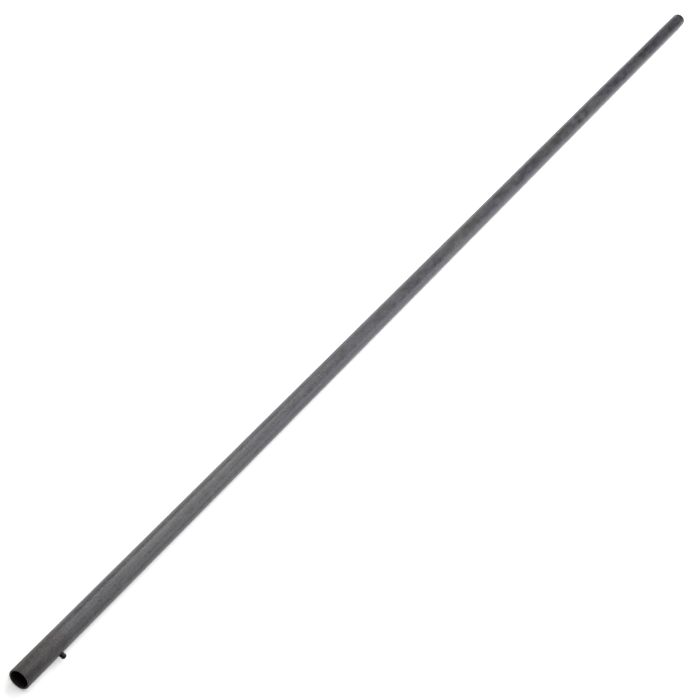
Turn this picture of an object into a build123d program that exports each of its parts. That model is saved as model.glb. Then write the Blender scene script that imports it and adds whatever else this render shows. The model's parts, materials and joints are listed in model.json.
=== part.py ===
from build123d import *
import os
from math import acos, degrees, isclose, sqrt

# One section of a survey pole: a plain carbon-fibre tube with a spring snap button near one end
# and the matching hole near the other. All sizes are in millimetres.
#
# The tube lies along +X. The origin is the centre of its near end face, at the end that carries
# the button. The button and the far hole face -Y.

# Tube
tube_length = 2133.6
tube_outer_diameter = 25.4
tube_wall = 1.6
end_edge_break = 0.25

# Socket reamed in the far end, for the fitting that is pinned there
socket_depth = 80.0
socket_ream = 0.3

# Snap button: a round pin with a domed tip, riveted to the spring clip
button_diameter = 6.35
button_from_near_end = 57.15
button_stand_out = 6.35
button_dome_height = 1.8
button_edge_radius = 0.6
rivet_diameter = 3.2
rivet_head_diameter = 5.0
rivet_head_height = 0.8
rivet_head_edge = 0.5

# Hole for the next section's button, in line with this one
far_hole_from_far_end = 38.1

# Spring clip: one strip bent to a V, open towards the near end
strip_thickness = 0.6
strip_width = 9.5
pad_half_length = 7.0
leg_length = 60.0
bend_radius = 2.3
knee_radius = 12.0
toe_lift = 1.5
strip_corner_radius = 3.0

# Clearances, each on one side
button_hole_clearance = 0.2
rivet_clearance = 0.05
strip_clearance = 0.05

# Worked out from the sizes above
tube_radius = tube_outer_diameter / 2
bore_radius = tube_radius - tube_wall
socket_radius = bore_radius + socket_ream
button_radius = button_diameter / 2
hole_radius = button_radius + button_hole_clearance
far_hole_position = tube_length - far_hole_from_far_end
strip_seat = sqrt(bore_radius**2 - (strip_width / 2) ** 2) - strip_clearance
leg_level = strip_seat - strip_thickness / 2
button_tip = tube_radius + button_stand_out


def disc(position, radius, start, end):
    """A round bar square to the tube, from one distance to another on the -Y side of its axis."""
    face = Plane.XZ.offset(start) * Pos(position, 0) * Circle(radius)
    return extrude(face, end - start)


def make_carbon_tube():
    """The tube, with its bore, far socket and two pin holes, and its end edges broken."""
    tube = extrude(Plane.YZ * Circle(tube_radius), tube_length)
    tube -= extrude(Plane.YZ * Circle(bore_radius), tube_length)
    tube -= extrude(Plane.YZ.offset(tube_length) * Circle(socket_radius), -socket_depth)

    rims = tube.edges().filter_by(GeomType.CIRCLE).group_by(Axis.X)
    tube = chamfer(rims[0] + rims[-1], end_edge_break)

    for position in (button_from_near_end, far_hole_position):
        tube -= disc(position, hole_radius, 0, button_tip)
    return tube


def make_snap_button():
    """The pin, with the rivet that goes through the clip and the head that holds it there.

    Its profile is drawn in X and Y, with Y as the distance from the tube's axis, and turned.
    """
    shoulder = button_tip - button_dome_height
    dome_radius = (button_radius**2 + button_dome_height**2) / (2 * button_dome_height)
    dome_edge_angle = degrees(acos(button_radius / dome_radius))
    strip_inside = strip_seat - strip_thickness
    head_end = strip_inside - rivet_head_height
    rivet_radius = rivet_diameter / 2
    head_radius = rivet_head_diameter / 2

    outline = Polyline(
        (0, button_tip),
        (0, head_end),
        (head_radius, head_end),
        (head_radius, strip_inside),
        (rivet_radius, strip_inside),
        (rivet_radius, strip_seat),
        (button_radius, strip_seat),
        (button_radius, shoulder),
    )
    dome_centre = (0, button_tip - dome_radius)
    outline += CenterArc(dome_centre, dome_radius, dome_edge_angle, 90 - dome_edge_angle)
    profile = make_face(outline)
    profile = fillet(profile.vertices().sort_by_distance((head_radius, head_end))[0], rivet_head_edge)
    profile = fillet(profile.vertices().sort_by_distance((button_radius, shoulder))[0], button_edge_radius)
    pin = revolve(profile, Axis.Y)
    return Pos(button_from_near_end, 0, 0) * Rot(180, 0, 0) * pin


def make_spring_clip():
    """The strip, with the button's leg flat on one wall and the toe of the other opposite."""
    path = FilletPolyline(
        (button_from_near_end - pad_half_length, -leg_level),
        (button_from_near_end + pad_half_length, -leg_level),
        (button_from_near_end + leg_length, 0),
        (button_from_near_end, leg_level),
        (button_from_near_end - pad_half_length, leg_level - toe_lift),
        radius=[knee_radius, bend_radius, knee_radius],
    )
    strip = extrude(trace(path, strip_thickness), strip_width / 2, both=True)
    corners = [
        edge
        for edge in strip.edges().filter_by(GeomType.LINE)
        if isclose(edge.length, strip_thickness, rel_tol=1e-3)
    ]
    strip = fillet(corners, strip_corner_radius)
    rivet_hole = rivet_diameter / 2 + rivet_clearance
    return strip - disc(button_from_near_end, rivet_hole, 0, button_tip)


os.makedirs("parts", exist_ok=True)
export_step(make_carbon_tube(), "parts/carbon_tube.step")
export_step(make_snap_button(), "parts/snap_button.step")
export_step(make_spring_clip(), "parts/spring_clip.step")
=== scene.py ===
"""One section of a carbon-fibre survey pole, lying on a pale floor in soft studio light.

The pole lies along +X with the centre of its near end face at the origin. The snap button and the
far pin hole face -Y. Every length is in metres.
"""

import json
from math import acos, atan2, cos, floor, hypot, pi, radians, sin, sqrt, tan, tau

import bmesh
import bpy
from mathutils import Matrix, Vector


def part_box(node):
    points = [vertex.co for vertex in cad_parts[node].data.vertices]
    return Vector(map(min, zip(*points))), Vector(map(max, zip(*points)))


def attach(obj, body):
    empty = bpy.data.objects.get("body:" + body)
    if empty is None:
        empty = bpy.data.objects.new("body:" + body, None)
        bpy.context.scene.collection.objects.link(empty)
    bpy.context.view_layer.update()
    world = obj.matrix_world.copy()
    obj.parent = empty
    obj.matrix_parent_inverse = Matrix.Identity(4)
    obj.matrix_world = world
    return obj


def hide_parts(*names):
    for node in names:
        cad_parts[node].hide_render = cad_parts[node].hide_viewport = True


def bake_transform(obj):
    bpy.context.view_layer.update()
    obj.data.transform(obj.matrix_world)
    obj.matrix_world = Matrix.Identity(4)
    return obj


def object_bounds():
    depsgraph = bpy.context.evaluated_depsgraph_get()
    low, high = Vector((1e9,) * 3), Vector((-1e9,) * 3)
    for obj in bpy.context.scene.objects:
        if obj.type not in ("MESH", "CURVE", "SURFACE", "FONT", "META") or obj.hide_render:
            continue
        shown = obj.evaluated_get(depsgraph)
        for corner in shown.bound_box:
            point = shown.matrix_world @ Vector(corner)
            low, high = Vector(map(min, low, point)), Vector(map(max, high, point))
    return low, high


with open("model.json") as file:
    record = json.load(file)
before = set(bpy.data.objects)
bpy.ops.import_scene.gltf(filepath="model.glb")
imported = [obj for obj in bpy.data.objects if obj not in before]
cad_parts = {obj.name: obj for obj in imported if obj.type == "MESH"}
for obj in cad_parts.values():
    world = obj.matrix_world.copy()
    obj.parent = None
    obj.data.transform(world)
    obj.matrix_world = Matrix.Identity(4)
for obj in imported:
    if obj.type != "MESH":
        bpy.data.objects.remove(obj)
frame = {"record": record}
cad_low, cad_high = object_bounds()

bl_info = {
    "name": "Survey Pole Section",
    "version": (1, 0, 0),
    "blender": (4, 5, 0),
    "location": "3D View > Sidebar > Pole",
    "description": "Builds a carbon-fibre survey pole section with its snap button and spring",
    "category": "Object",
}

MM = 0.001
TOUCHING = 0.001 * MM
SHARP_ANGLE = radians(50)
SMOOTH_ANGLE = radians(35)

mounts = {mount["name"]: mount for mount in frame["record"]["mounts"]}
_, tube_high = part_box("carbon_tube")
button_low, button_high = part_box("snap_button")
spring_low, spring_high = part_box("spring_clip")
button_place = (button_low.x + button_high.x) / 2
far_hole_place = mounts["far_pin_hole"]["pos_m"][0]
hole_places = (button_place, far_hole_place)


# ---------------------------------------------------------------- sizes and colours


def length(name, description, default):
    """A property that holds a length."""
    return bpy.props.FloatProperty(
        name=name, description=description, default=default, min=0, precision=5, unit="LENGTH"
    )


def colour(name, description, default):
    """A property that holds a colour."""
    return bpy.props.FloatVectorProperty(
        name=name, description=description, default=default, size=3, min=0, max=1, subtype="COLOR"
    )


def brightness(name, description, default):
    """A property that holds the strength of a light."""
    return bpy.props.FloatProperty(name=name, description=description, default=default, min=0)


def angle(name, description, default):
    """A property that holds an angle, given in degrees."""
    return bpy.props.FloatProperty(
        name=name, description=description, default=radians(default), subtype="ANGLE"
    )


class TubeSettings(bpy.types.PropertyGroup):
    """The carbon-fibre tube."""

    length: length("Length", "End face to end face", tube_high.x)
    radius: length("Radius", "Outside radius", tube_high.y)
    wall: length("Wall", "Wall thickness along most of the tube", 1.6 * MM)
    edge_break: length("Edge break", "Bevel on the rims of both ends", 0.25 * MM)
    socket_radius: length(
        "Socket radius", "Reamed bore at the far end", mounts["far_socket"]["dims"]["r_mm"] * MM
    )
    socket_depth: length("Socket depth", "How far the reamed bore goes in", 80 * MM)
    hole_radius: length(
        "Hole radius", "Both pin holes", mounts["far_pin_hole"]["dims"]["r_mm"] * MM
    )
    hole_edge: length("Hole edge", "Wear on the edges of the pin holes", 0.1 * MM)
    spigot: length("Rubbed length", "Near end, where a sleeve slides over it", 68 * MM)
    # How far the skin is darker from the near end; the darker stretch at the far end is scaled from it.
    darker_reach: length("Darker length", "Near end, where the skin is darker", 175 * MM)
    skin: colour("Skin", "Sanded outside", (0.045, 0.045, 0.049))
    rubbed: colour("Rubbed skin", "Outside where a sleeve slides over it", (0.038, 0.032, 0.029))
    cut: colour("Cut edge", "Sawn ends and drilled holes", (0.030, 0.029, 0.028))
    bore: colour("Bore", "Inside, as it left the mandrel", (0.022, 0.018, 0.015))


class ButtonSettings(bpy.types.PropertyGroup):
    """The snap button, with its rivet."""

    radius: length("Radius", "Outside radius", (button_high.x - button_low.x) / 2)
    tip: length("Tip", "From the tube's axis to the top of the dome", -button_low.y)
    dome: length("Dome", "Height of the dome", 1.8 * MM)
    shoulder: length("Shoulder", "Radius where the dome meets the side", 0.6 * MM)
    rivet_radius: length("Rivet radius", "Where it goes through the spring", 1.6 * MM)
    head_radius: length("Rivet head radius", "Behind the spring", 2.5 * MM)
    head_height: length("Rivet head height", "Behind the spring", 0.8 * MM)
    head_edge: length("Rivet head edge", "Radius round the head", 0.5 * MM)
    finish: colour("Finish", "Black oxide", (0.009, 0.009, 0.010))
    worn: colour("Worn steel", "Where the oxide has rubbed thin", (0.05, 0.05, 0.055))


class SpringSettings(bpy.types.PropertyGroup):
    """The V-shaped spring strip that holds the button out."""

    width: length("Width", "Across the strip", spring_high.z - spring_low.z)
    thickness: length("Thickness", "Of the strip", 0.6 * MM)
    pad: length("Pad", "Half the length of the flat under the button", 7 * MM)
    leg: length("Leg", "From the button to where the legs would meet", 60 * MM)
    bend: length("Bend radius", "At the point of the V", 2.3 * MM)
    knee: length("Knee radius", "Where each leg meets its pad", 12 * MM)
    toe_lift: length("Toe lift", "How far the toe's tip leaves the wall", 1.5 * MM)
    corner: length("Corner radius", "At both tips", 3 * MM)
    rivet_hole: length("Rivet hole radius", "In the middle of the pad", 1.65 * MM)
    steel: colour("Steel", "Tempered strip", (0.22, 0.21, 0.20))
    tint: colour("Heat tint", "Straw and blue from tempering", (0.10, 0.085, 0.075))


class StageSettings(bpy.types.PropertyGroup):
    """The floor, the light and the camera."""

    floor: colour("Floor", "Plain pale floor", (0.95, 0.95, 0.95))
    glow: brightness("Glow", "Light from inside the floor, as on a light table", 0.3)
    cove: brightness("Cove", "Brightness all round, low down", 0.34)
    ceiling: brightness("Ceiling", "Brightness overhead", 0.03)
    aim: length("Aim", "How far along the tube the camera looks", 0.7310)
    beside: length("Beside", "How far to the button's side of the axis it looks", 0.0015)
    distance: length("Distance", "From the camera to the axis there", 2.2653)
    pitch: angle("Pitch", "Between the tube and the line of sight", 41.66)
    side: angle("Side", "Camera's turn about the tube, from -Y up towards +Z", 83.0)
    roll: angle("Roll", "Camera's turn about its line of sight", 44.95)


# ---------------------------------------------------------------- mesh tools


def draw_line(mesh, points, closed=False):
    """Adds points joined by straight edges and returns the vertices and edges."""
    corners = [mesh.verts.new(point) for point in points]
    pairs = list(zip(corners, corners[1:]))
    if closed:
        pairs.append((corners[-1], corners[0]))
    return corners + [mesh.edges.new(pair) for pair in pairs]


def turn(mesh, geometry, centre, axis, steps):
    """Turns an outline right round an axis."""
    bmesh.ops.spin(
        mesh,
        geom=geometry,
        cent=centre,
        axis=axis,
        angle=tau,
        steps=steps,
        use_merge=True,
    )


def bevel(mesh, edges, offset, segments):
    """Rounds edges off."""
    bmesh.ops.bevel(
        mesh,
        geom=edges,
        offset=offset,
        offset_type="OFFSET",
        segments=segments,
        profile=0.5,
        affect="EDGES",
        clamp_overlap=True,
        material=-1,
    )


def slice_across(mesh, place, normal):
    """Cuts new edges through the whole mesh along a plane."""
    bmesh.ops.bisect_plane(
        mesh,
        geom=mesh.verts[:] + mesh.edges[:] + mesh.faces[:],
        dist=TOUCHING,
        plane_co=place,
        plane_no=normal,
    )


def sharp_edges(mesh):
    """The edges where two faces meet at more than the sharp angle."""
    return [e for e in mesh.edges if len(e.link_faces) == 2 and e.calc_face_angle() > SHARP_ANGLE]


def all_at(edge, test):
    """True if both ends of an edge pass a test."""
    return all(test(vert.co) for vert in edge.verts)


def close_up(mesh):
    """Merges doubles and turns every face outwards."""
    bmesh.ops.remove_doubles(mesh, verts=mesh.verts[:], dist=TOUCHING)
    bmesh.ops.recalc_face_normals(mesh, faces=mesh.faces[:])


def make_piece(name, mesh, materials):
    """Makes a finished mesh an object, smooth except along its edges."""
    data = bpy.data.meshes.new(name)
    mesh.to_mesh(data)
    mesh.free()
    for material in materials:
        data.materials.append(material)
    data.polygons.foreach_set("use_smooth", [True] * len(data.polygons))
    data.set_sharp_from_angle(angle=SMOOTH_ANGLE)
    piece = bpy.data.objects.new(name, data)
    bpy.context.scene.collection.objects.link(piece)
    return piece


def apply_modifiers(piece):
    """Makes what the modifiers give the piece's own mesh."""
    graph = bpy.context.evaluated_depsgraph_get()
    finished = bpy.data.meshes.new_from_object(piece.evaluated_get(graph))
    piece.modifiers.clear()
    piece.data = finished


# ---------------------------------------------------------------- material tools


class Wire:
    """A value or colour on its way between two nodes. Arithmetic on it adds Math nodes."""

    def __init__(self, paint, socket):
        self.paint = paint
        self.socket = socket

    def __add__(self, other):
        return self.paint.math("ADD", self, other)

    def __radd__(self, other):
        return self.paint.math("ADD", other, self)

    def __sub__(self, other):
        return self.paint.math("SUBTRACT", self, other)

    def __rsub__(self, other):
        return self.paint.math("SUBTRACT", other, self)

    def __mul__(self, other):
        return self.paint.math("MULTIPLY", self, other)

    def __rmul__(self, other):
        return self.paint.math("MULTIPLY", other, self)


# A Mix node names its colour sockets as it does its others, so they go by number.
MIX_FACTOR, MIX_FIRST, MIX_SECOND, MIX_RESULT = 0, 6, 7, 2


class Paint:
    """A material while its nodes are being put together."""

    def __init__(self, name):
        self.material = bpy.data.materials.new(name)
        self.material.use_nodes = True
        self.tree = self.material.node_tree
        self.tree.nodes.clear()

    def node(self, kind, settings=None, values=None, output=0):
        """Adds a node, sets it up, feeds its sockets and returns one of its outputs, if it has any."""
        made = self.tree.nodes.new(kind)
        for name, value in (settings or {}).items():
            setattr(made, name, value)
        for key, value in (values or {}).items():
            if isinstance(value, Wire):
                self.tree.links.new(value.socket, made.inputs[key])
            else:
                made.inputs[key].default_value = value
        return Wire(self, made.outputs[output]) if made.outputs else None

    def math(self, operation, *values):
        """A Math node on one or more values."""
        return self.node("ShaderNodeMath", {"operation": operation}, dict(enumerate(values)))

    def place(self):
        """The point on the piece, in millimetres."""
        here = self.node("ShaderNodeTexCoord", output="Object")
        return self.node(
            "ShaderNodeVectorMath", {"operation": "SCALE"}, {"Vector": here, "Scale": 1 / MM}
        )

    def stretched(self, place, along, across):
        """The point with its length and its two cross directions scaled apart."""
        return self.node(
            "ShaderNodeVectorMath", {"operation": "MULTIPLY"}, {0: place, 1: (along, across, across)}
        )

    def grain(self, place, along, across, detail=2.0, roughness=0.5):
        """Noise from 0 to 1 with so many grains to a millimetre along and across the tube."""
        return self.node(
            "ShaderNodeTexNoise",
            None,
            {
                "Vector": self.stretched(place, along, across),
                "Scale": 1.0,
                "Detail": detail,
                "Roughness": roughness,
            },
        )

    def step(self, value, low, high, start=0.0, end=1.0):
        """Goes smoothly from start to end as a value goes from low to high."""
        return self.node(
            "ShaderNodeMapRange",
            {"interpolation_type": "SMOOTHSTEP"},
            {
                "Value": value,
                "From Min": low,
                "From Max": high,
                "To Min": start,
                "To Max": end,
            },
        )

    def part(self, place, which):
        """One coordinate of a point, X, Y or Z."""
        return self.node("ShaderNodeSeparateXYZ", None, {"Vector": place}, output=which)

    def from_axis(self, place):
        """How far a point is from the tube's axis, in millimetres."""
        across = self.part(place, "Y")
        up = self.part(place, "Z")
        return self.math("POWER", across * across + up * up, 0.5)

    def blend(self, factor, first, second, mode="MIX"):
        """Mixes two colours."""
        colours = [value if isinstance(value, Wire) else (*value, 1.0) for value in (first, second)]
        return self.node(
            "ShaderNodeMix",
            {"data_type": "RGBA", "blend_type": mode},
            {MIX_FACTOR: factor, MIX_FIRST: colours[0], MIX_SECOND: colours[1]},
            output=MIX_RESULT,
        )

    def tone(self, base, brightness):
        """A colour made lighter or darker by a factor."""
        return self.node(
            "ShaderNodeVectorMath", {"operation": "SCALE"}, {"Vector": base, "Scale": brightness}
        )

    def bump(self, height, distance):
        """A normal roughened by a height from 0 to 1, of so many millimetres."""
        return self.node("ShaderNodeBump", None, {"Height": height, "Distance": distance * MM})

    def finish(self, values):
        """Ends the material with a Principled shader."""
        shader = self.node("ShaderNodeBsdfPrincipled", None, values)
        self.node("ShaderNodeOutputMaterial", None, {"Surface": shader})
        return self.material


# ---------------------------------------------------------------- materials


# The skin's darkest specks, against its plain colour
DARKEST = 0.2


def carbon_skin(settings):
    """Wound carbon fibre, ground round and left satin, with the fibres showing through."""
    paint = Paint("carbon_skin")
    place = paint.place()
    along = paint.part(place, "X")
    fibres = paint.grain(place, 0.02, 2.4, detail=3.0, roughness=0.6)
    speckle = paint.grain(place, 0.42, 0.55, detail=3.0, roughness=0.8)
    mottle = paint.grain(place, 0.055, 0.11, detail=3.0, roughness=0.6)
    patches = paint.grain(place, 0.008, 0.05, detail=2.0)
    bands = paint.grain(place, 0.16, 0.004, detail=3.0, roughness=0.7)
    scratches = paint.grain(place, 7.0, 0.25, detail=2.0, roughness=0.6)

    # The skin is darker near both ends, with a darker band at each border. The mottle makes the borders
    # ragged.
    spigot = settings.spigot / MM
    darker_reach = settings.darker_reach / MM
    far = settings.length / MM
    rubbed = paint.step(along + mottle * 16.0, spigot, spigot + 16.0, 1.0, 0.0)
    ragged = along + mottle * 40.0
    from_near = paint.step(ragged, darker_reach, darker_reach + 24.0, 1.0, 0.0)
    from_far = paint.step(ragged, far - darker_reach * 1.6, far - darker_reach * 0.4)
    darker_ends = from_near + from_far
    border = darker_ends * (1 - darker_ends) * 4.0

    # How much each pattern lightens or darkens the skin.
    light = (
        (fibres - 0.5) * 1.6
        + (speckle - 0.5) * 4.4
        + (mottle - 0.5) * 2.4
        + (patches - 0.5) * 0.7
        + (bands - 0.5) * 0.5
        # Darker near both ends, and darker still in a band at each border.
        - darker_ends * 0.14
        - border * 0.10
    )
    base = paint.blend(rubbed * 0.8, settings.skin, settings.rubbed)
    tint = paint.blend(paint.step(patches, 0.35, 0.65), (1.0, 0.98, 1.06), (1.0, 1.01, 0.96))
    base = paint.blend(1.0, base, tint, mode="MULTIPLY")
    gloss = (speckle - 0.5) * 0.55 + (mottle - 0.5) * 0.35 + (scratches - 0.5) * 0.12
    return paint.finish(
        {
            "Base Color": paint.tone(base, paint.math("MAXIMUM", light + 1.0, DARKEST)),
            "Roughness": 0.43 + gloss + rubbed * 0.10,
            "Normal": paint.bump(scratches * 0.3 + fibres * 0.3 + speckle * 1.2, 0.07),
            "IOR": 1.5,
        }
    )


def carbon_cut(settings):
    """Sawn and drilled edges, where the wound layers show as rings."""
    paint = Paint("carbon_cut")
    place = paint.place()
    layers = paint.node(
        "ShaderNodeTexNoise",
        {"noise_dimensions": "1D"},
        {"W": paint.from_axis(place) * 5.0, "Scale": 1.0, "Detail": 2.0},
    )
    chips = paint.grain(place, 4.0, 4.0, detail=3.0, roughness=0.6)
    return paint.finish(
        {
            "Base Color": paint.tone(settings.cut, 0.6 + layers * 0.9 + (chips - 0.5) * 0.8),
            "Roughness": 0.5 + (chips - 0.5) * 0.3,
            "Normal": paint.bump(layers * 0.6 + chips * 0.6, 0.04),
            "IOR": 1.5,
        }
    )


def carbon_bore(settings):
    """The inside, smooth from the mandrel, with a brown cast from bare resin."""
    paint = Paint("carbon_bore")
    place = paint.place()
    streaks = paint.grain(place, 0.03, 0.9, detail=3.0, roughness=0.6)
    dust = paint.grain(place, 0.5, 0.5, detail=3.0, roughness=0.6)
    return paint.finish(
        {
            "Base Color": paint.tone(settings.bore, 0.7 + streaks * 0.5 + (dust - 0.5) * 0.8),
            "Roughness": 0.4 + (dust - 0.5) * 0.3,
            "Normal": paint.bump(streaks * 0.5 + dust * 0.5, 0.03),
            "IOR": 1.5,
        }
    )


def black_oxide(settings):
    """Blackened steel, satin on its sides and rubbed thin on the dome's top."""
    paint = Paint("black_oxide")
    place = paint.place()
    cloud = paint.grain(place, 0.35, 0.35, detail=3.0, roughness=0.6)
    turning = paint.grain(place, 0.6, 9.0, detail=2.0)
    pits = paint.grain(place, 3.0, 3.0, detail=3.0, roughness=0.7)
    out = paint.part(place, "Y") * -1.0
    tip = settings.tip / MM
    worn = paint.step(out + (cloud - 0.5) * 1.6, tip - 0.9, tip + 0.5)
    worn = worn * paint.step(pits, 0.35, 0.65, 0.25, 0.8)
    return paint.finish(
        {
            "Base Color": paint.tone(
                paint.blend(worn, settings.finish, settings.worn), 0.75 + cloud * 0.5
            ),
            "Metallic": 0.1 + worn * 0.4,
            "Roughness": 0.34 + (cloud - 0.5) * 0.2 + (pits - 0.5) * 0.12,
            "Specular IOR Level": 0.2,
            "Normal": paint.bump(pits * 0.6 + turning * 0.3, 0.012),
        }
    )


def spring_steel(settings):
    """Tempered strip, drawn lengthwise, with a heat tint in patches."""
    paint = Paint("tempered_strip")
    place = paint.place()
    drawn = paint.grain(place, 0.05, 9.0, detail=3.0, roughness=0.6)
    cloud = paint.grain(place, 0.10, 0.22, detail=3.0, roughness=0.6)
    return paint.finish(
        {
            "Base Color": paint.tone(
                paint.blend(paint.step(cloud, 0.35, 0.65), settings.steel, settings.tint),
                0.8 + drawn * 0.4,
            ),
            "Metallic": 0.9,
            "Roughness": 0.34 + (drawn - 0.5) * 0.2 + (cloud - 0.5) * 0.1,
            "Normal": paint.bump(drawn, 0.008),
        }
    )


def studio_floor(settings):
    """A matt pale sheet, lit a little from below."""
    paint = Paint("studio_floor")
    pale = (*settings.floor, 1.0)
    return paint.finish(
        {
            "Base Color": pale,
            "Roughness": 0.9,
            "Emission Color": pale,
            "Emission Strength": settings.glow,
        }
    )


# ---------------------------------------------------------------- the tube

# Faces round the tube, and across the bevel on the rims of its ends
COLUMNS = 128
RIM_SEGMENTS = 3

# The patch of wall that is cleared for a pin hole, and the rings of faces laid round the hole
HOLE_HALF_COLUMNS = 8
HOLE_ROWS = 16
HOLE_HALF_PATCH = 5 * MM
HOLE_RINGS = 2
HOLE_EDGE_SEGMENTS = 2

# The equal lengths that the outside is cut into
STRIPS = 5


def from_axis(point):
    """How far a point is from the tube's axis."""
    return hypot(point.y, point.z)


def open_pin_hole(mesh, place, hole_radius, skins):
    """Drills a round hole through the wall on the -Y side.

    A square patch of each skin is cleared, a circle is laid on the skin, and the two are joined.
    The two circles are then joined through the wall.
    """
    half_turn = HOLE_HALF_COLUMNS / COLUMNS * tau
    middle = sum(skins) / 2
    circles = []
    for skin in skins:
        outside = skin > middle

        def on_skin(point):
            return (from_axis(point) > middle) == outside

        def in_patch(point):
            off_side = atan2(point.z, -point.y)
            near = abs(point.x - place) < HOLE_HALF_PATCH and abs(off_side) < half_turn
            return near and on_skin(point)

        patch = [f for f in mesh.faces if in_patch(f.calc_center_median())]
        if not patch:
            raise RuntimeError("the tube has no faces where a pin hole goes")
        bmesh.ops.delete(mesh, geom=patch, context="FACES")
        rim = [e for e in mesh.edges if e.is_boundary and all_at(e, on_skin)]
        lying = Matrix.Translation((place, 0, 0)) @ Matrix.Rotation(pi / 2, 4, "X")
        made = bmesh.ops.create_circle(
            mesh, cap_ends=False, radius=hole_radius, segments=len(rim), matrix=lying
        )
        for vert in made["verts"]:
            vert.co.y = -sqrt(skin**2 - vert.co.z**2)
        circle = list({e for vert in made["verts"] for e in vert.link_edges})
        joined = bmesh.ops.bridge_loops(mesh, edges=rim + circle)
        split = bmesh.ops.subdivide_edges(mesh, edges=joined["edges"], cuts=HOLE_RINGS)
        for vert in [v for v in split["geom_inner"] if isinstance(v, bmesh.types.BMVert)]:
            vert.co.y = -sqrt(skin**2 - vert.co.z**2)
        circles.append(circle)
    bmesh.ops.bridge_loops(mesh, edges=circles[0] + circles[1])


def tube_mesh(settings):
    """The tube: a turned wall with its bore and far socket, broken rims and two pin holes."""
    bore = settings.radius - settings.wall
    far = settings.length
    step = far - settings.socket_depth
    outline = [
        (0, 0, bore),
        (0, 0, settings.radius),
        (far, 0, settings.radius),
        (far, 0, settings.socket_radius),
        (step, 0, settings.socket_radius),
        (step, 0, bore),
    ]
    mesh = bmesh.new()
    turn(mesh, draw_line(mesh, outline, closed=True), (0, 0, 0), (1, 0, 0), COLUMNS)
    close_up(mesh)

    def at_an_end(point):
        return min(point.x, far - point.x) < TOUCHING

    rims = [e for e in sharp_edges(mesh) if all_at(e, at_an_end)]
    bevel(mesh, rims, settings.edge_break, RIM_SEGMENTS)

    row = 2 * HOLE_HALF_PATCH / HOLE_ROWS
    stations = [far * strip / STRIPS for strip in range(1, STRIPS)]
    for place in hole_places:
        stations += [place - HOLE_HALF_PATCH + row * count for count in range(HOLE_ROWS + 1)]
    for station in stations:
        slice_across(mesh, (station, 0, 0), (1, 0, 0))

    open_pin_hole(mesh, button_place, settings.hole_radius, (settings.radius, bore))
    open_pin_hole(mesh, far_hole_place, settings.hole_radius, (settings.radius, settings.socket_radius))
    close_up(mesh)

    def at_a_hole(point):
        away = min(abs(point.x - place) for place in hole_places)
        return away < settings.hole_radius + TOUCHING

    edges = [e for e in sharp_edges(mesh) if all_at(e, at_a_hole)]
    bevel(mesh, edges, settings.hole_edge, HOLE_EDGE_SEGMENTS)
    close_up(mesh)
    return mesh


SKIN, CUT, BORE = range(3)

# How far inside a skin a face's middle may lie and still be that skin, and how far a face leans
# towards the tube's length before it counts as an end
SKIN_DEPTH = 0.03 * MM
END_LEAN = 0.3


def sort_faces(mesh, settings):
    """Gives each face of the tube its finish: sanded skin, cut edge or bore."""
    inner = settings.socket_radius + SKIN_DEPTH
    outer = settings.radius - SKIN_DEPTH
    for face in mesh.faces:
        out = from_axis(face.calc_center_median())
        if abs(face.normal.x) > END_LEAN or inner < out < outer:
            face.material_index = CUT
        elif out >= outer:
            face.material_index = SKIN
        else:
            face.material_index = BORE


# Places and sizes on the baking sheet, which is 1 wide and 1 high
SKIN_HEIGHT = 0.84
STRIP_GAP = 0.004
BORE_LOW = 0.845
BORE_HEIGHT = 0.06
TOP_ROW = 0.915
DISC_SIZE = 0.08
DISC_PITCH = 1.1
HOLE_LEFT = 0.5
HOLE_WIDTH = 0.2
HOLE_PITCH = 0.25
HOLE_HEIGHT = 0.05


def unroll(mesh, settings):
    """Lays the tube's faces out flat for baking, most of the sheet going to the outside.

    The outside is cut into equal lengths laid one above the other. The bore goes in a low strip
    above them, and the ends and the walls of the holes in a row at the top.
    """
    layer = mesh.loops.layers.uv.new("OFBake")
    cut_length = settings.length / STRIPS
    strip_height = SKIN_HEIGHT / STRIPS
    spread = DISC_SIZE / 2 / settings.radius

    def turn_of(point, middle):
        """A point's turn about the tube, from 0 to 1, kept close to that of its face's middle."""
        near = atan2(middle.y, -middle.z) / tau
        here = atan2(point.y, -point.z) / tau
        return 0.5 + here - round(here - near)

    for face in mesh.faces:
        middle = face.calc_center_median()
        strip = min(STRIPS - 1, floor(middle.x / cut_length))
        hole = min(hole_places, key=lambda place: abs(place - middle.x))
        in_hole = abs(hole - middle.x) < settings.hole_radius + settings.hole_edge + TOUCHING
        for loop in face.loops:
            point = loop.vert.co
            if face.material_index == SKIN:
                u = point.x / cut_length - strip
                v = (strip + turn_of(point, middle)) * strip_height
                v += STRIP_GAP * (0.5 - turn_of(point, middle))
            elif face.material_index == BORE:
                u = point.x / settings.length
                v = BORE_LOW + turn_of(point, middle) * BORE_HEIGHT
            elif in_hole:
                near = atan2(middle.z, middle.x - hole) / tau
                here = atan2(point.z, point.x - hole) / tau
                turned = 0.5 + here - round(here - near)
                u = HOLE_LEFT + HOLE_WIDTH * turned + HOLE_PITCH * (hole == far_hole_place)
                v = TOP_ROW + (settings.radius - from_axis(point)) / settings.wall * HOLE_HEIGHT
            else:
                number = 0 if middle.x < cut_length else 1 if middle.x > settings.length - MM else 2
                u = DISC_SIZE * DISC_PITCH * (number + 0.5) + point.y * spread
                v = TOP_ROW + DISC_SIZE / 2 + point.z * spread
            loop[layer].uv = (u, v)


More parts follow.
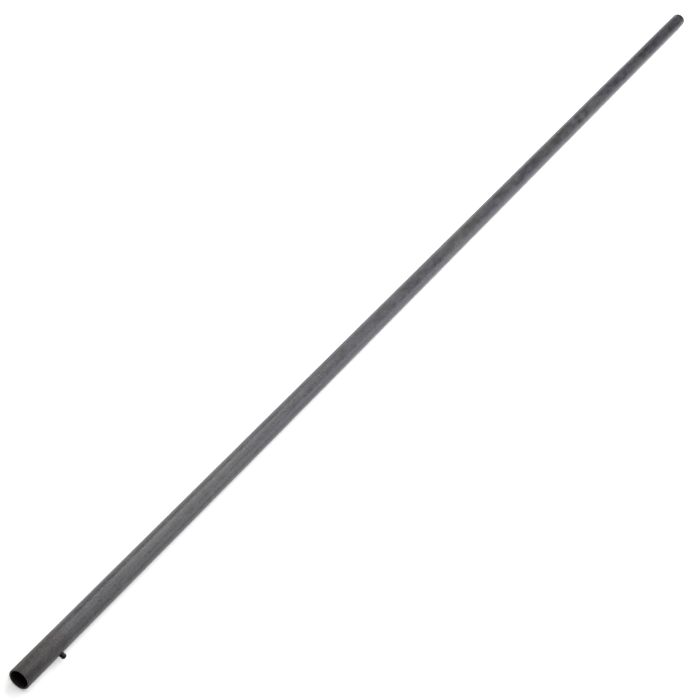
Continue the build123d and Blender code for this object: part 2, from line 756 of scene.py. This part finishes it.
class POLE_OT_tube(bpy.types.Operator):
    """Build the carbon-fibre tube with its bore, far socket and pin holes"""

    bl_idname = "pole.tube"
    bl_label = "Carbon-Fibre Tube"

    def execute(self, context):
        settings = context.scene.pole_tube
        mesh = tube_mesh(settings)
        sort_faces(mesh, settings)
        unroll(mesh, settings)
        finishes = [carbon_skin(settings), carbon_cut(settings), carbon_bore(settings)]
        piece = make_piece("pole_tube", mesh, finishes)
        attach(piece, "tube")
        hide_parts("carbon_tube")
        return {"FINISHED"}


# ---------------------------------------------------------------- the snap button

# Faces round the pin, up its dome, round its shoulder and round the rivet head's edge
PIN_COLUMNS = 72
DOME_STEPS = 8
SHOULDER_SEGMENTS = 5
HEAD_SEGMENTS = 4


def button_mesh(settings, seat, thickness):
    """The pin and its rivet, turned from one outline."""
    shoulder = settings.tip - settings.dome
    dome_radius = (settings.radius**2 + settings.dome**2) / (2 * settings.dome)
    dome_turn = pi / 2 - acos(settings.radius / dome_radius)
    shoulder_cut = settings.shoulder * tan(dome_turn / 2)
    inside = seat - thickness
    mesh = bmesh.new()
    top = mesh.verts.new((button_place, -settings.tip, 0))
    bmesh.ops.spin(
        mesh,
        geom=[top],
        cent=(button_place, dome_radius - settings.tip, 0),
        axis=(0, 0, 1),
        angle=dome_turn,
        steps=DOME_STEPS,
    )
    rest = [
        (settings.radius, shoulder),
        (settings.radius, seat),
        (settings.rivet_radius, seat),
        (settings.rivet_radius, inside),
        (settings.head_radius, inside),
        (settings.head_radius, inside - settings.head_height),
        (0, inside - settings.head_height),
    ]
    draw_line(mesh, [(button_place + out, -level, 0) for out, level in rest])
    bmesh.ops.remove_doubles(mesh, verts=mesh.verts[:], dist=TOUCHING)
    turn(mesh, mesh.verts[:] + mesh.edges[:], (button_place, 0, 0), (0, -1, 0), PIN_COLUMNS)
    close_up(mesh)

    def ring(out, level):
        """The edges of the circle at one radius and level."""

        def on_circle(point):
            off = hypot(point.x - button_place, point.z) - out
            return abs(point.y + level) < TOUCHING and abs(off) < TOUCHING

        return [e for e in mesh.edges if all_at(e, on_circle)]

    bevel(mesh, ring(settings.radius, shoulder), shoulder_cut, SHOULDER_SEGMENTS)
    head = ring(settings.head_radius, inside - settings.head_height)
    bevel(mesh, head, settings.head_edge, HEAD_SEGMENTS)
    close_up(mesh)
    return mesh


class POLE_OT_button(bpy.types.Operator):
    """Build the snap button with its rivet"""

    bl_idname = "pole.button"
    bl_label = "Snap Button"

    def execute(self, context):
        settings = context.scene.pole_button
        thickness = context.scene.pole_spring.thickness
        mesh = button_mesh(settings, -spring_low.y, thickness)
        piece = make_piece("pole_snap_button", mesh, [black_oxide(settings)])
        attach(piece, "button")
        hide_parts("snap_button")
        return {"FINISHED"}


# ---------------------------------------------------------------- the V spring

# Cuts along each leg, steps round each bend and tip, and edges round the rivet hole
LEG_CUTS = 23
BEND_STEPS = 12
TIP_SEGMENTS = 8
RIVET_STEPS = 32

# The square cleared for the rivet hole reaches this many times the hole's radius
RIVET_REACH = 1.7

# Bevel along the strip's edges
STRIP_EDGE = 0.08 * MM
STRIP_EDGE_SEGMENTS = 2


def draw_bent_line(mesh, points, radii):
    """Draws a line in X and Y through corners, each rounded by turning a point about its bend."""
    points = [Vector((*point, 0)) for point in points]
    last = mesh.verts.new(points[0])
    for before, corner, after, radius in zip(points, points[1:], points[2:], radii):
        coming = (corner - before).normalized()
        going = (after - corner).normalized()
        turning = atan2(coming.cross(going).z, coming.dot(going))
        towards = Vector((-coming.y, coming.x, 0)) * (1 if turning > 0 else -1)
        start = mesh.verts.new(corner - coming * radius * tan(abs(turning) / 2))
        mesh.edges.new((last, start))
        made = bmesh.ops.spin(
            mesh,
            geom=[start],
            cent=start.co + towards * radius,
            axis=(0, 0, 1),
            angle=turning,
            steps=BEND_STEPS,
        )
        last = made["geom_last"][0]
    mesh.edges.new((last, mesh.verts.new(points[-1])))


def spring_mesh(settings):
    """The strip's middle surface: a V with a flat pad, a toe and rounded tips."""
    level = -spring_low.y - settings.thickness / 2
    tip = button_place - settings.pad
    path = [
        (tip, -level),
        (button_place + settings.pad, -level),
        (button_place + settings.leg, 0),
        (button_place, level),
        (tip, level - settings.toe_lift),
    ]
    mesh = bmesh.new()
    draw_bent_line(mesh, path, (settings.knee, settings.bend, settings.knee))
    made = bmesh.ops.extrude_edge_only(mesh, edges=mesh.edges[:])
    raised = [v for v in made["geom"] if isinstance(v, bmesh.types.BMVert)]
    bmesh.ops.translate(mesh, verts=raised, vec=(0, 0, settings.width))
    bmesh.ops.translate(mesh, verts=mesh.verts[:], vec=(0, 0, -settings.width / 2))

    legs = [e for e in mesh.edges if e.calc_length() > settings.leg / 2]
    bmesh.ops.subdivide_edges(mesh, edges=legs, cuts=LEG_CUTS)

    tips = [v for v in mesh.verts if v.co.x < tip + TOUCHING]
    bmesh.ops.bevel(
        mesh,
        geom=tips,
        offset=settings.corner,
        offset_type="OFFSET",
        segments=TIP_SEGMENTS,
        profile=0.5,
        affect="VERTICES",
        material=-1,
    )
    return mesh


def open_rivet_hole(mesh, settings):
    """Punches the rivet hole in the middle of the flat pad."""
    reach = settings.rivet_hole * RIVET_REACH
    level = -spring_low.y - settings.thickness / 2
    for side in (-1, 1):
        slice_across(mesh, (button_place + side * reach, 0, 0), (1, 0, 0))
        slice_across(mesh, (0, 0, side * reach), (0, 0, 1))

    def in_square(point):
        across = max(abs(point.x - button_place), abs(point.z))
        return across < reach + TOUCHING and abs(point.y + level) < TOUCHING

    patch = [f for f in mesh.faces if in_square(f.calc_center_median())]
    if not patch:
        raise RuntimeError("the spring has no face where its rivet hole goes")
    sides = list({e for f in patch for e in f.edges})
    bmesh.ops.delete(mesh, geom=patch, context="FACES_ONLY")
    bmesh.ops.subdivide_edges(mesh, edges=sides, cuts=RIVET_STEPS // 4 - 1)
    rim = [e for e in mesh.edges if e.is_boundary and all_at(e, in_square)]
    lying = Matrix.Translation((button_place, -level, 0)) @ Matrix.Rotation(pi / 2, 4, "X")
    circle = bmesh.ops.create_circle(
        mesh, cap_ends=False, radius=settings.rivet_hole, segments=RIVET_STEPS, matrix=lying
    )
    ring = list({e for vert in circle["verts"] for e in vert.link_edges})
    bmesh.ops.bridge_loops(mesh, edges=rim + ring)


class POLE_OT_spring(bpy.types.Operator):
    """Build the V spring that holds the snap button out"""

    bl_idname = "pole.spring"
    bl_label = "V Spring"

    def execute(self, context):
        settings = context.scene.pole_spring
        mesh = spring_mesh(settings)
        open_rivet_hole(mesh, settings)
        close_up(mesh)
        piece = make_piece("pole_v_spring", mesh, [spring_steel(settings)])
        wall = piece.modifiers.new("wall", "SOLIDIFY")
        wall.thickness = settings.thickness
        wall.offset = 0
        edge = piece.modifiers.new("edge", "BEVEL")
        edge.width = STRIP_EDGE
        edge.segments = STRIP_EDGE_SEGMENTS
        edge.limit_method = "ANGLE"
        edge.angle_limit = SHARP_ANGLE
        apply_modifiers(piece)
        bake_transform(piece)
        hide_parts("spring_clip")
        return {"FINISHED"}


# ---------------------------------------------------------------- the stage

# Half the floor's side, and the middle of it
FLOOR_REACH = 40
FLOOR_MIDDLE = 1

# How high the pale cove goes before the air is as dim as overhead, and the air's tint
COVE_TOP = radians(16)
AIR = (0.95, 0.97, 1.0, 1.0)

LENS = 85
SENSOR = 36

# Name, place, where it points, width and height, power and tint of each light
SOFTBOXES = (
    ("softbox_near", (0.0, 0.0, 2.2), (0.2, 0, 0), (1.6, 1.6), 24, (1.0, 0.99, 0.97)),
    ("softbox_far", (2.0, 0.0, 2.2), (1.7, 0, 0), (1.6, 1.6), 36, (0.97, 0.95, 1.0)),
    ("softbox_band", (1.6, 1.05, 1.25), (0.35, 0, 0), (0.8, 0.6), 14, (1.0, 1.0, 0.97)),
    ("softbox_side", (0.1, 1.5, 0.7), (0.2, 0, 0), (1.4, 0.8), 8.5, (1.0, 0.99, 0.97)),
    ("softbox_left", (2.3, 1.8, 1.3), (1.9, 0, 0), (1.8, 1.2), 6, (1.0, 0.99, 0.98)),
    ("softbox_right", (2.4, -1.6, 1.5), (1.9, 0, 0), (1.8, 1.4), 28, (0.95, 0.94, 1.0)),
    ("softbox_low", (3.0, -2.0, 0.8), (1.7, 0, 0), (1.8, 1.0), 14, (0.94, 0.93, 1.0)),
)


def studio_air(settings):
    """Light from all round: pale low down, as a white cove is, and dim overhead."""
    world = bpy.data.worlds.new("studio")
    world.use_nodes = True
    tree = world.node_tree
    way = tree.nodes.new("ShaderNodeTexCoord")
    height = tree.nodes.new("ShaderNodeSeparateXYZ")
    fade = tree.nodes.new("ShaderNodeMapRange")
    fade.interpolation_type = "SMOOTHSTEP"
    fade.inputs["From Min"].default_value = 0.0
    fade.inputs["From Max"].default_value = sin(COVE_TOP)
    fade.inputs["To Min"].default_value = settings.cove
    fade.inputs["To Max"].default_value = settings.ceiling
    tree.links.new(way.outputs["Generated"], height.inputs[0])
    tree.links.new(height.outputs["Z"], fade.inputs["Value"])
    tree.links.new(fade.outputs[0], tree.nodes["Background"].inputs["Strength"])
    tree.nodes["Background"].inputs["Color"].default_value = AIR
    return world


def add_softbox(name, place, aim, size, power, tint):
    """A large soft light."""
    lamp = bpy.data.lights.new(name, "AREA")
    lamp.color = tint
    lamp.shape = "RECTANGLE"
    lamp.size = size[0]
    lamp.size_y = size[1]
    lamp.energy = power
    light = bpy.data.objects.new(name, lamp)
    light.location = place
    light.rotation_mode = "QUATERNION"
    light.rotation_quaternion = (Vector(aim) - Vector(place)).to_track_quat("-Z", "Y")
    light.visible_camera = False
    bpy.context.scene.collection.objects.link(light)


def add_camera(settings):
    """Places the camera beside and above the near end, looking along the pole."""
    along = Vector((1, 0, 0))
    facing = Vector((0, -cos(settings.side), sin(settings.side)))
    beside = along.cross(facing)
    aim = along * settings.aim
    place = aim + (facing * sin(settings.pitch) - along * cos(settings.pitch)) * settings.distance
    back = (place - aim - beside * settings.beside).normalized()
    climb = (along - back * along.dot(back)).normalized()
    across = climb.cross(back)
    right = across * cos(settings.roll) + climb * sin(settings.roll)
    up = climb * cos(settings.roll) - across * sin(settings.roll)
    lens = bpy.data.cameras.new("camera")
    lens.lens = LENS
    lens.sensor_width = SENSOR
    lens.clip_start = 0.05
    lens.clip_end = 100
    camera = bpy.data.objects.new("camera", lens)
    turned = Matrix((right, up, back)).transposed().to_4x4()
    camera.matrix_world = Matrix.Translation(place) @ turned
    bpy.context.scene.collection.objects.link(camera)
    bpy.context.scene.camera = camera


class POLE_OT_stage(bpy.types.Operator):
    """Set the pale floor, the soft light and the camera"""

    bl_idname = "pole.stage"
    bl_label = "Stage"

    def execute(self, context):
        settings = context.scene.pole_stage
        context.scene.view_settings.view_transform = "Standard"
        mesh = bmesh.new()
        middle = Matrix.Translation((FLOOR_MIDDLE, 0, cad_low.z))
        bmesh.ops.create_grid(mesh, x_segments=1, y_segments=1, size=FLOOR_REACH, matrix=middle)
        ground = make_piece("studio_floor", mesh, [studio_floor(settings)])

        context.scene.world = studio_air(settings)
        for name, place, aim, size, power, tint in SOFTBOXES:
            add_softbox(name, place, aim, size, power, tint)
        add_camera(settings)
        return {"FINISHED"}


# ---------------------------------------------------------------- the add-on


class POLE_PT_parts(bpy.types.Panel):
    """Lists what the pole section is built from."""

    bl_idname = "POLE_PT_parts"
    bl_label = "Survey Pole Section"
    bl_space_type = "VIEW_3D"
    bl_region_type = "UI"
    bl_category = "Pole"

    def draw(self, context):
        for operator, group in PARTS:
            box = self.layout.box()
            box.operator(operator.bl_idname)
            settings = getattr(context.scene, group)
            for name in settings.bl_rna.properties.keys():
                if name not in ("rna_type", "name"):
                    box.prop(settings, name)


PARTS = (
    (POLE_OT_tube, "pole_tube"),
    (POLE_OT_button, "pole_button"),
    (POLE_OT_spring, "pole_spring"),
    (POLE_OT_stage, "pole_stage"),
)
GROUPS = {
    "pole_tube": TubeSettings,
    "pole_button": ButtonSettings,
    "pole_spring": SpringSettings,
    "pole_stage": StageSettings,
}


def register():
    """Adds the settings, the operators and the panel to Blender."""
    for name, group in GROUPS.items():
        bpy.utils.register_class(group)
        setattr(bpy.types.Scene, name, bpy.props.PointerProperty(type=group))
    for operator, _ in PARTS:
        bpy.utils.register_class(operator)
    bpy.utils.register_class(POLE_PT_parts)


def unregister():
    """Takes them out again."""
    bpy.utils.unregister_class(POLE_PT_parts)
    for operator, _ in reversed(PARTS):
        bpy.utils.unregister_class(operator)
    for name, group in GROUPS.items():
        delattr(bpy.types.Scene, name)
        bpy.utils.unregister_class(group)


def main():
    """Builds the pole section and its stage."""
    register()
    bpy.ops.pole.tube()
    bpy.ops.pole.button()
    bpy.ops.pole.spring()
    bpy.ops.pole.stage()


if __name__ == "__main__":
    main()
